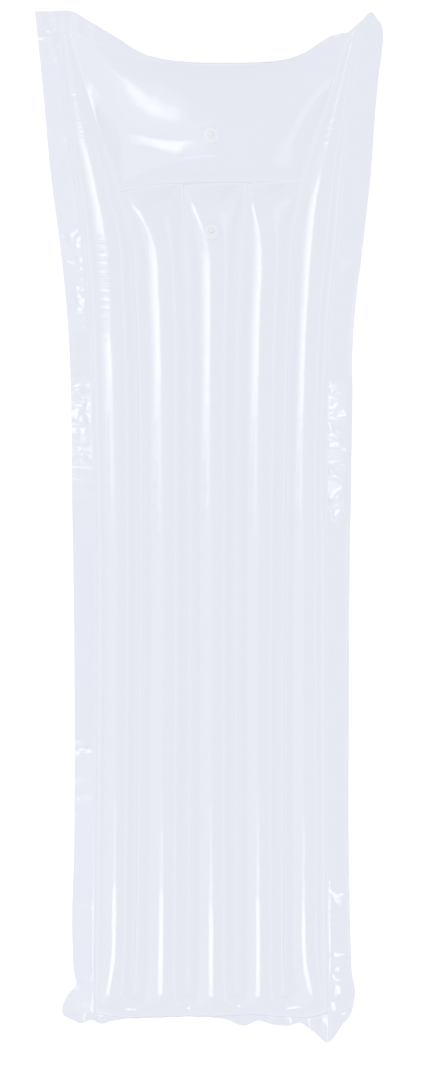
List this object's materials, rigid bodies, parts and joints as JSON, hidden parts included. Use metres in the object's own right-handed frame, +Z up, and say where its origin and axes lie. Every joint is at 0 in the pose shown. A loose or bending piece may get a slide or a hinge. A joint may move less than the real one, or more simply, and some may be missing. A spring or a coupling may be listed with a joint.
{
  "type": "pool air mattress",
  "caption": "Inflatable pool lounger of welded clear film: long air tubes, a separate pillow, flat welded edges and sunken stem valves with hinged stoppers.",
  "frame": {"origin": "middle of the ground plane under the inflated mat, level with its lowest faces", "axes": "+Y along the mat towards the pillow, +X across it, +Z up out of its lying surface"},
  "size_m": [0.606, 1.8, 0.1211],
  "materials": {
    "film_top": "gloss",
    "film_bottom": "gloss",
    "valve_plastic": "satin"
  },
  "bodies": {
    "mat": {"top_sheet": "film_top", "bottom_sheet": "film_bottom", "main_valve_flange": "valve_plastic", "main_valve_cup": "valve_plastic", "pillow_valve_flange": "valve_plastic", "pillow_valve_cup": "valve_plastic"},
    "main_valve_stem": {"main_valve_neck": "valve_plastic"},
    "main_valve_plug": {"main_valve_stopper": "valve_plastic", "main_valve_strap": "valve_plastic"},
    "main_valve_check": {"main_valve_flap": "valve_plastic"},
    "pillow_valve_stem": {"pillow_valve_neck": "valve_plastic"},
    "pillow_valve_plug": {"pillow_valve_stopper": "valve_plastic", "pillow_valve_strap": "valve_plastic"},
    "pillow_valve_check": {"pillow_valve_flap": "valve_plastic"}
  },
  "joints": [
    {"name": "main_valve_pull", "type": "slide", "parent": "mat", "child": "main_valve_stem", "axis": [0, 0, -1], "range_m": [0, 0.02], "deforming": ["main_valve_cup"]},
    {"name": "main_valve_stopper_swing", "type": "hinge", "parent": "main_valve_stem", "child": "main_valve_plug", "pos_m": [0.009, 0.525, 0.00854], "axis": [0, -1, 0], "range_deg": [0, 130]},
    {"name": "main_valve_flap_swing", "type": "hinge", "parent": "main_valve_stem", "child": "main_valve_check", "pos_m": [0.0067, 0.525, 0.02114], "axis": [0, 1, 0], "range_deg": [0, 60]},
    {"name": "pillow_valve_pull", "type": "slide", "parent": "mat", "child": "pillow_valve_stem", "axis": [0, 0, -1], "range_m": [0, 0.02], "deforming": ["pillow_valve_cup"]},
    {"name": "pillow_valve_stopper_swing", "type": "hinge", "parent": "pillow_valve_stem", "child": "pillow_valve_plug", "pos_m": [0.009, 0.696, 0.0062], "axis": [0, -1, 0], "range_deg": [0, 130]},
    {"name": "pillow_valve_flap_swing", "type": "hinge", "parent": "pillow_valve_stem", "child": "pillow_valve_check", "pos_m": [0.0067, 0.696, 0.0188], "axis": [0, 1, 0], "range_deg": [0, 60]}
  ]
}
